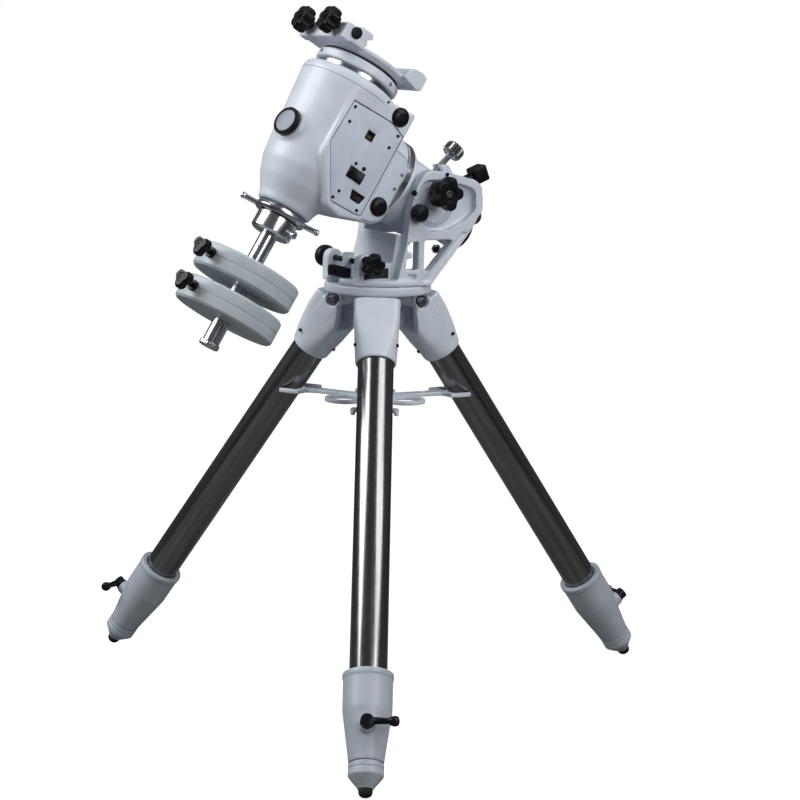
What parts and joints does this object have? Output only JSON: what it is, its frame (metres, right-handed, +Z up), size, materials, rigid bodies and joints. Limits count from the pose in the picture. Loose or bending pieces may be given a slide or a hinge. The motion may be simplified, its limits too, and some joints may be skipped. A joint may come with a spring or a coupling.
{
  "type": "equatorial telescope mount",
  "caption": "Equatorial mount on a steel three-leg tripod: forked base, polar and declination heads, dovetail saddle, counterweight bar with weights.",
  "frame": {"origin": "on the ground, at the middle of the mount's footprint box", "axes": "+Z up; the polar axis points towards -X and up; -Y is the side with the control panel"},
  "size_m": [0.8168, 0.844, 1.0114],
  "materials": {
    "white_casting": "satin",
    "leg_steel": "polished",
    "weight_paint": "satin",
    "chrome": "polished",
    "machined_steel": "satin",
    "bronze": "satin",
    "board": "satin",
    "motor_steel": "satin",
    "scope_tube": "satin",
    "black_plastic": "satin"
  },
  "bodies": {
    "tripod": {"tripod_head": "white_casting", "azimuth_peg": "white_casting", "centre_rod": "machined_steel"},
    "leg_1": {"leg_bracket_1": "white_casting", "leg_tube_1": "leg_steel", "leg_clamp_1": "white_casting"},
    "foot_1": {"inner_leg_1": "white_casting"},
    "leg_lever_1": {"clamp_lever_1": "black_plastic"},
    "leg_2": {"leg_bracket_2": "white_casting", "leg_tube_2": "leg_steel", "leg_clamp_2": "white_casting"},
    "foot_2": {"inner_leg_2": "white_casting"},
    "leg_lever_2": {"clamp_lever_2": "black_plastic"},
    "leg_3": {"leg_bracket_3": "white_casting", "leg_tube_3": "leg_steel", "leg_clamp_3": "white_casting"},
    "foot_3": {"inner_leg_3": "white_casting"},
    "leg_lever_3": {"clamp_lever_3": "black_plastic"},
    "tray": {"spreader_tray": "white_casting"},
    "tray_nut": {"tray_knob": "black_plastic"},
    "azimuth_base": {"base_yoke": "white_casting"},
    "azimuth_screw_near": {"azimuth_knob_near": "black_plastic"},
    "azimuth_screw_far": {"azimuth_knob_far": "black_plastic"},
    "altitude_lock": {"altitude_lock_knob": "black_plastic"},
    "altitude_stop": {"altitude_stop_knob": "black_plastic"},
    "altitude_upper": {"altitude_screw_upper": "chrome"},
    "altitude_lower": {"altitude_screw_lower": "black_plastic"},
    "polar_head": {"ra_housing": "white_casting", "ra_ring": "chrome", "ra_motor": "motor_steel", "polar_scope_cap": "black_plastic", "ra_worm": "machined_steel"},
    "dec_head": {"dec_housing": "white_casting", "dec_cover": "white_casting", "dec_side_cover": "white_casting", "front_cap": "black_plastic", "circuit_board": "board", "dec_worm": "machined_steel", "dec_motor": "motor_steel", "dec_ring": "chrome", "ra_shaft": "machined_steel", "ra_worm_wheel": "bronze", "polar_scope": "scope_tube"},
    "switch_rocker": {"power_switch": "black_plastic"},
    "dec_axis": {"dec_shaft": "machined_steel", "dec_worm_wheel": "bronze", "saddle_disc": "white_casting", "saddle_base": "white_casting", "shaft_collar": "chrome", "counterweight_shaft": "chrome", "shaft_end_cap": "chrome"},
    "clutch": {"clutch_ring": "chrome"},
    "jaw": {"saddle_jaw": "white_casting"},
    "saddle_screw_1": {"saddle_knob_1": "black_plastic"},
    "saddle_screw_2": {"saddle_knob_2": "black_plastic"},
    "weight_1": {"counterweight_1": "weight_paint"},
    "weight_lock_1": {"weight_knob_1": "black_plastic"},
    "weight_2": {"counterweight_2": "weight_paint"},
    "weight_lock_2": {"weight_knob_2": "black_plastic"}
  },
  "joints": [
    {"name": "leg_fold_1", "type": "hinge", "parent": "tripod", "child": "leg_1", "pos_m": [-0.01419, 0.00234, 0.58888], "axis": [0, 1, 0], "range_deg": [0, 13.5]},
    {"name": "leg_extend_1", "type": "slide", "parent": "leg_1", "child": "foot_1", "axis": [0.5807, 0, -0.8141], "range_m": [0, 0.38]},
    {"name": "leg_lever_turn_1", "type": "hinge", "parent": "leg_1", "child": "leg_lever_1", "pos_m": [0.35306, 0.00234, 0.07401], "axis": [0.8141, 0, 0.5807], "range_deg": [-90, 90]},
    {"name": "leg_fold_2", "type": "hinge", "parent": "tripod", "child": "leg_2", "pos_m": [-0.10119, 0.05257, 0.58888], "axis": [-0.866, -0.5, 0], "range_deg": [0, 13.5]},
    {"name": "leg_extend_2", "type": "slide", "parent": "leg_2", "child": "foot_2", "axis": [-0.2904, 0.5029, -0.8141], "range_m": [0, 0.38]},
    {"name": "leg_lever_turn_2", "type": "hinge", "parent": "leg_2", "child": "leg_lever_2", "pos_m": [-0.28482, 0.37062, 0.07401], "axis": [-0.4071, 0.705, 0.5807], "range_deg": [-90, 90]},
    {"name": "leg_fold_3", "type": "hinge", "parent": "tripod", "child": "leg_3", "pos_m": [-0.10119, -0.04789, 0.58888], "axis": [0.866, -0.5, 0], "range_deg": [0, 13.5]},
    {"name": "leg_extend_3", "type": "slide", "parent": "leg_3", "child": "foot_3", "axis": [-0.2904, -0.5029, -0.8141], "range_m": [0, 0.38]},
    {"name": "leg_lever_turn_3", "type": "hinge", "parent": "leg_3", "child": "leg_lever_3", "pos_m": [-0.28482, -0.36594, 0.07401], "axis": [-0.4071, -0.705, 0.5807], "range_deg": [-90, 90]},
    {"name": "tray_drop", "type": "slide", "parent": "tripod", "child": "tray", "axis": [0, 0, -1], "range_m": [0, 0.105]},
    {"name": "tray_knob_turn", "type": "hinge", "parent": "tray", "child": "tray_nut", "pos_m": [-0.07219, 0.00234, 0.43988], "axis": [0, 0, 1], "range_deg": [-180, 180]},
    {"name": "azimuth_turn", "type": "hinge", "parent": "tripod", "child": "azimuth_base", "pos_m": [-0.07219, 0.00234, 0.61688], "axis": [0, 0, 1], "range_deg": [-8, 8]},
    {"name": "azimuth_screw_travel_near", "type": "slide", "parent": "azimuth_base", "child": "azimuth_screw_near", "axis": [0, 1, 0], "range_m": [-0.0075, 0.0075]},
    {"name": "azimuth_screw_travel_far", "type": "slide", "parent": "azimuth_base", "child": "azimuth_screw_far", "axis": [0, 1, 0], "range_m": [-0.0075, 0.0075]},
    {"name": "altitude_lock_turn", "type": "hinge", "parent": "azimuth_base", "child": "altitude_lock", "pos_m": [-0.01819, -0.08766, 0.75088], "axis": [0, -1, 0], "range_deg": [-180, 180]},
    {"name": "altitude_stop_turn", "type": "hinge", "parent": "azimuth_base", "child": "altitude_stop", "pos_m": [-0.05319, -0.07766, 0.72288], "axis": [0, -1, 0], "range_deg": [-180, 180]},
    {"name": "altitude_tilt", "type": "hinge", "parent": "azimuth_base", "child": "polar_head", "pos_m": [-0.01819, 0.00234, 0.73488], "axis": [0, 1, 0], "range_deg": [-11, 35]},
    {"name": "altitude_screw_travel_upper", "type": "slide", "parent": "azimuth_base", "child": "altitude_upper", "axis": [0.7193, 0, 0.6947], "range_m": [-0.003, 0.008]},
    {"name": "altitude_screw_travel_lower", "type": "slide", "parent": "azimuth_base", "child": "altitude_lower", "axis": [0.9272, 0, 0.3746], "range_m": [-0.006, 0.003]},
    {"name": "ra_turn", "type": "hinge", "parent": "polar_head", "child": "dec_head", "pos_m": [-0.01819, 0.00234, 0.73488], "axis": [-0.8572, 0, 0.515], "continuous": true},
    {"name": "power_switch_rock", "type": "hinge", "parent": "dec_head", "child": "switch_rocker", "pos_m": [-0.15262, -0.06366, 0.77715], "axis": [0.515, 0, 0.8572], "range_deg": [0, 12]},
    {"name": "dec_turn", "type": "hinge", "parent": "dec_head", "child": "dec_axis", "pos_m": [-0.16905, 0.00234, 0.82552], "axis": [0.515, 0, 0.8572], "continuous": true},
    {"name": "clutch_turn", "type": "hinge", "parent": "dec_axis", "child": "clutch", "pos_m": [-0.23395, 0.00234, 0.71752], "axis": [0.515, 0, 0.8572], "range_deg": [-30, 30]},
    {"name": "saddle_jaw_slide", "type": "slide", "parent": "dec_axis", "child": "jaw", "axis": [-0.8572, 0, 0.515], "range_m": [-0.0065, 0.007]},
    {"name": "saddle_knob_turn_1", "type": "hinge", "parent": "jaw", "child": "saddle_screw_1", "pos_m": [-0.18267, -0.03566, 0.9912], "axis": [-0.8572, 0, 0.515], "range_deg": [-180, 180]},
    {"name": "saddle_knob_turn_2", "type": "hinge", "parent": "jaw", "child": "saddle_screw_2", "pos_m": [-0.18267, 0.04034, 0.9912], "axis": [-0.8572, 0, 0.515], "range_deg": [-180, 180]},
    {"name": "weight_slide_1", "type": "slide", "parent": "dec_axis", "child": "weight_1", "axis": [0.515, 0, 0.8572], "range_m": [0, 0.045]},
    {"name": "weight_knob_turn_1", "type": "hinge", "parent": "weight_1", "child": "weight_lock_1", "pos_m": [-0.28648, 0.00234, 0.63009], "axis": [-0.824, -0.2756, 0.4951], "range_deg": [-180, 180]},
    {"name": "weight_slide_2", "type": "slide", "parent": "dec_axis", "child": "weight_2", "axis": [0.515, 0, 0.8572], "range_m": [-0.028, 0.012]},
    {"name": "weight_knob_turn_2", "type": "hinge", "parent": "weight_2", "child": "weight_lock_2", "pos_m": [-0.31326, 0.00234, 0.58552], "axis": [-0.824, -0.2756, 0.4951], "range_deg": [-180, 180]}
  ],
  "couplings": [
    {"joint": "leg_fold_2", "follows": "leg_fold_1", "ratio": 1},
    {"joint": "leg_fold_3", "follows": "leg_fold_1", "ratio": 1},
    {"joint": "tray_drop", "follows": "leg_fold_1", "m_per_rad": 0.42441},
    {"joint": "azimuth_screw_travel_near", "follows": "azimuth_turn", "m_per_rad": 0.05},
    {"joint": "azimuth_screw_travel_far", "follows": "azimuth_turn", "m_per_rad": 0.05},
    {"joint": "altitude_screw_travel_upper", "follows": "altitude_tilt", "m_per_rad": 0.012},
    {"joint": "altitude_screw_travel_lower", "follows": "altitude_tilt", "m_per_rad": -0.008}
  ]
}
